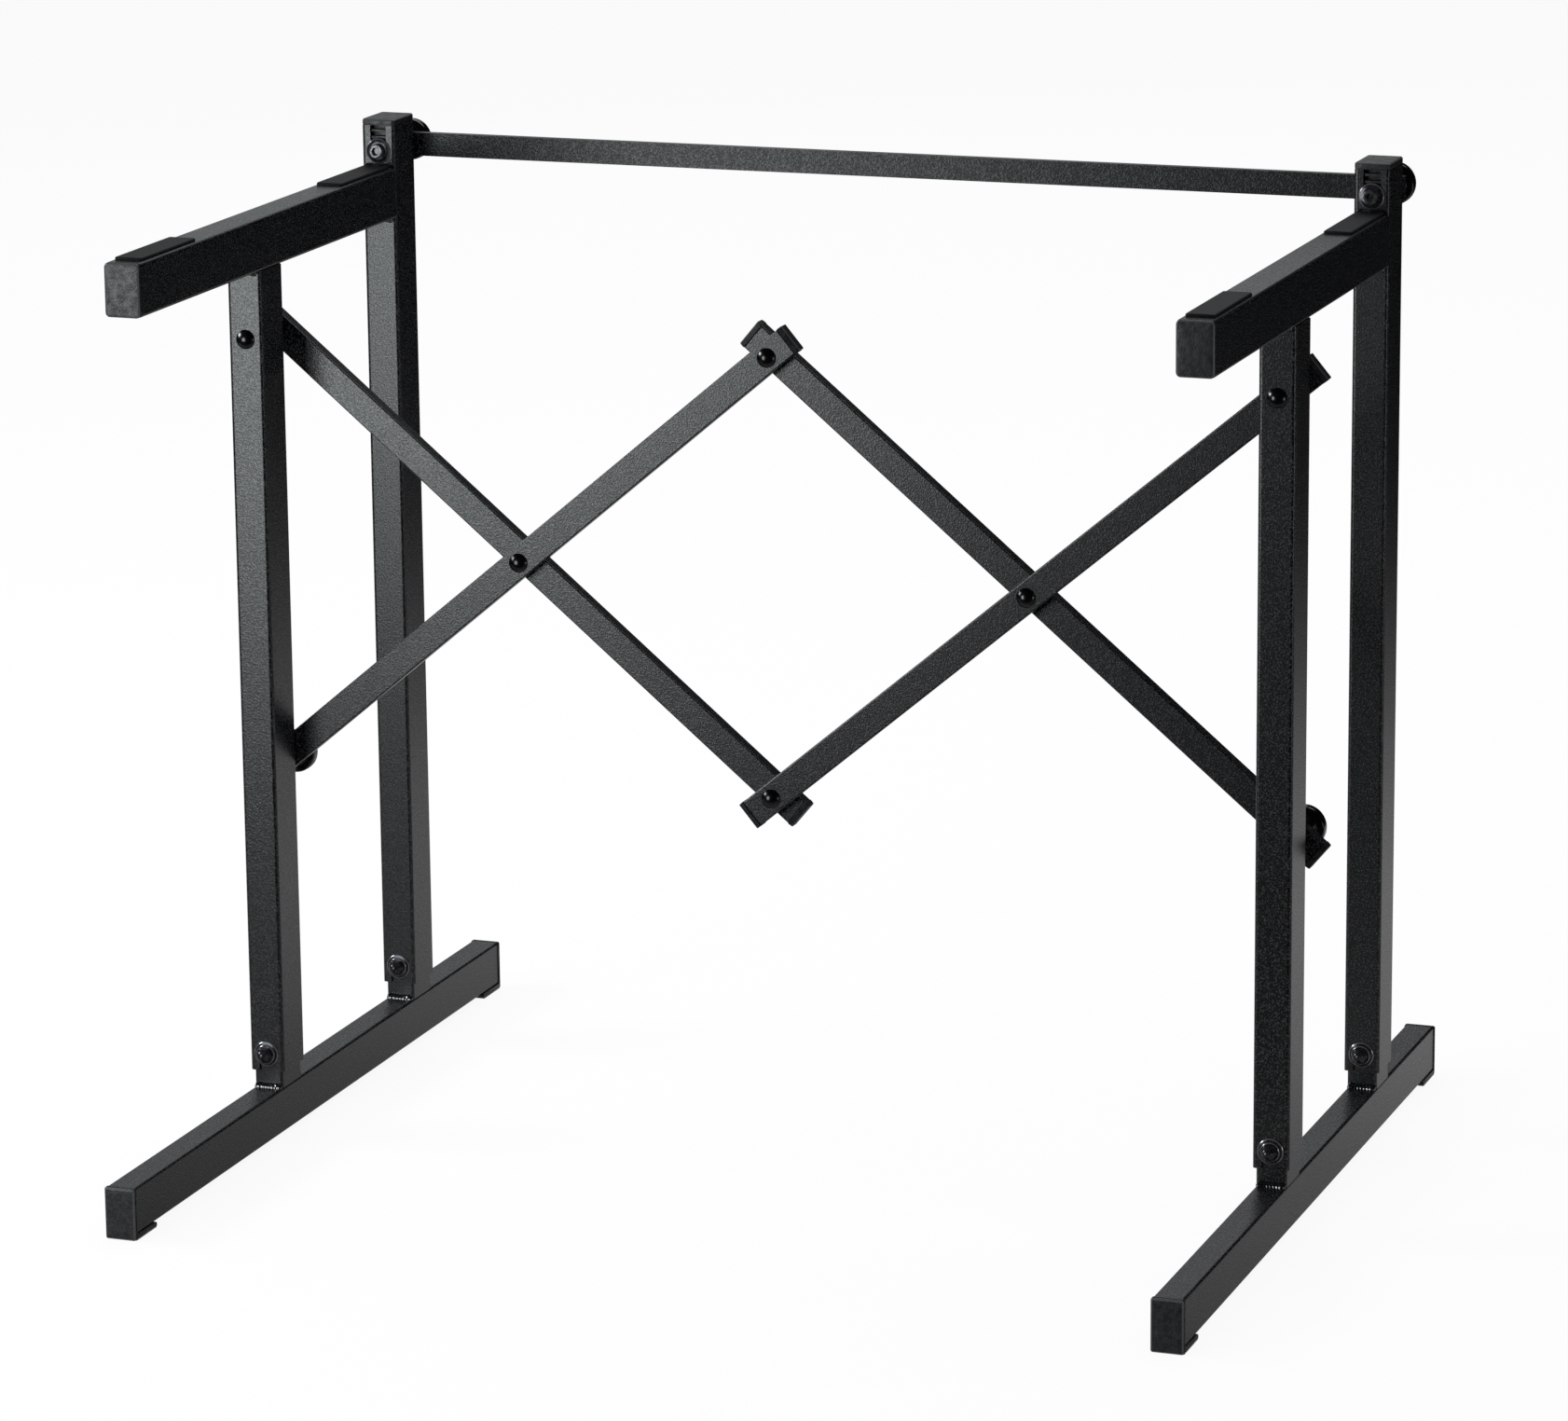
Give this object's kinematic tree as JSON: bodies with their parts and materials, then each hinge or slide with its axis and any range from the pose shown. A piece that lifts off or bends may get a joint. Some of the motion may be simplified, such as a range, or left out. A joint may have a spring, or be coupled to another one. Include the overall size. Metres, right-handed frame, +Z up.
{
  "type": "keyboard stand",
  "caption": "Black steel keyboard stand: two telescoping side frames with padded arms, joined by a double scissor and a hook-on rear brace.",
  "frame": {"origin": "on the floor, midway between the side frames and midway along the feet", "axes": "+X to the right seen from the front, +Y to the rear brace, +Z up"},
  "size_m": [0.7718, 0.64, 0.684],
  "materials": {
    "coated_steel": "satin fine-grain powder coat",
    "black_plastic": "matt moulded plastic",
    "black_hardware": "glossy black oxide",
    "rest_pad": "matt dense foam rubber"
  },
  "bodies": {
    "left_foot": {"left_foot_tube": "coated_steel", "left_leg_front": "coated_steel", "left_leg_rear": "coated_steel", "left_foot_cap_front": "black_plastic", "left_foot_cap_rear": "black_plastic", "left_leg_bolt_front": "black_hardware", "left_leg_bolt_rear": "black_hardware", "left_leg_nut_front": "black_hardware", "left_leg_nut_rear": "black_hardware"},
    "left_frame": {"left_post_front": "coated_steel", "left_post_rear": "coated_steel", "left_arm": "coated_steel", "left_arm_cap": "black_plastic", "left_top_cap": "black_plastic", "left_pad_front": "rest_pad", "left_pad_rear": "rest_pad", "left_rivet": "black_hardware", "left_brace_bolt": "black_hardware"},
    "bar_upper_left": {"bar_ul": "coated_steel", "cap_ul_post": "black_plastic", "cap_ul_mid": "black_plastic", "rivet_mid_lower": "black_hardware", "rivet_cross_left": "black_hardware"},
    "bar_lower_left": {"bar_ll": "coated_steel", "cap_ll_post": "black_plastic", "cap_ll_mid": "black_plastic", "rivet_mid_upper": "black_hardware", "left_slide_bolt": "black_hardware"},
    "bar_upper_right": {"bar_ur": "coated_steel", "cap_ur_post": "black_plastic", "cap_ur_mid": "black_plastic", "rivet_cross_right": "black_hardware"},
    "bar_lower_right": {"bar_lr": "coated_steel", "cap_lr_post": "black_plastic", "cap_lr_mid": "black_plastic", "right_slide_bolt": "black_hardware"},
    "right_frame": {"right_post_front": "coated_steel", "right_post_rear": "coated_steel", "right_arm": "coated_steel", "right_arm_cap": "black_plastic", "right_top_cap": "black_plastic", "right_pad_front": "rest_pad", "right_pad_rear": "rest_pad", "right_rivet": "black_hardware", "right_brace_bolt": "black_hardware"},
    "right_foot": {"right_foot_tube": "coated_steel", "right_leg_front": "coated_steel", "right_leg_rear": "coated_steel", "right_foot_cap_front": "black_plastic", "right_foot_cap_rear": "black_plastic", "right_leg_bolt_front": "black_hardware", "right_leg_bolt_rear": "black_hardware", "right_leg_nut_front": "black_hardware", "right_leg_nut_rear": "black_hardware"},
    "rear_brace": {"brace": "coated_steel"},
    "left_slide_knob": {"left_slide_knob": "black_plastic"},
    "right_slide_knob": {"right_slide_knob": "black_plastic"},
    "left_brace_knob": {"left_brace_knob": "black_plastic"},
    "right_brace_knob": {"right_brace_knob": "black_plastic"}
  },
  "joints": [
    {"name": "lift", "type": "slide", "parent": "left_foot", "child": "left_frame", "axis": [0, 0, 1], "range_m": [0, 0.3]},
    {"name": "fold", "type": "hinge", "parent": "left_frame", "child": "bar_upper_left", "pos_m": [-0.3625, -0.025, 0.5665], "axis": [0, 1, 0], "range_deg": [0, 36]},
    {"name": "cross_left", "type": "hinge", "parent": "bar_upper_left", "child": "bar_lower_left", "pos_m": [-0.18125, -0.031, 0.415], "axis": [0, 1, 0], "range_deg": [-72, 0]},
    {"name": "middle_lower", "type": "hinge", "parent": "bar_upper_left", "child": "bar_upper_right", "pos_m": [0, -0.031, 0.2635], "axis": [0, 1, 0], "range_deg": [-72, 0]},
    {"name": "cross_right", "type": "hinge", "parent": "bar_upper_right", "child": "bar_lower_right", "pos_m": [0.18125, -0.031, 0.415], "axis": [0, 1, 0], "range_deg": [0, 72]},
    {"name": "right_hang", "type": "hinge", "parent": "bar_upper_right", "child": "right_frame", "pos_m": [0.3625, -0.037, 0.5665], "axis": [0, 1, 0], "range_deg": [0, 36]},
    {"name": "right_lift", "type": "slide", "parent": "right_frame", "child": "right_foot", "axis": [0, 0, 1], "range_m": [-0.3, 0]},
    {"name": "brace_swing", "type": "hinge", "parent": "left_frame", "child": "rear_brace", "pos_m": [-0.3625, 0.193, 0.6615], "axis": [0, 1, 0], "range_deg": [0, 54]},
    {"name": "left_slide_knob_turn", "type": "hinge", "parent": "bar_lower_left", "child": "left_slide_knob", "pos_m": [-0.3625, -0.02, 0.2635], "axis": [0, 1, 0], "continuous": true},
    {"name": "right_slide_knob_turn", "type": "hinge", "parent": "bar_lower_right", "child": "right_slide_knob", "pos_m": [0.3625, -0.008, 0.2635], "axis": [0, 1, 0], "continuous": true},
    {"name": "left_brace_knob_turn", "type": "hinge", "parent": "left_frame", "child": "left_brace_knob", "pos_m": [-0.3625, 0.207, 0.6615], "axis": [0, 1, 0], "continuous": true},
    {"name": "right_brace_knob_turn", "type": "hinge", "parent": "right_frame", "child": "right_brace_knob", "pos_m": [0.3625, 0.207, 0.6615], "axis": [0, 1, 0], "continuous": true}
  ],
  "couplings": [
    {"joint": "cross_left", "follows": "fold", "ratio": -2},
    {"joint": "middle_lower", "follows": "fold", "ratio": -2},
    {"joint": "cross_right", "follows": "fold", "ratio": 2},
    {"joint": "right_hang", "follows": "fold", "ratio": 1},
    {"joint": "brace_swing", "follows": "fold", "ratio": 1.5},
    {"joint": "right_lift", "follows": "lift", "ratio": -1}
  ]
}
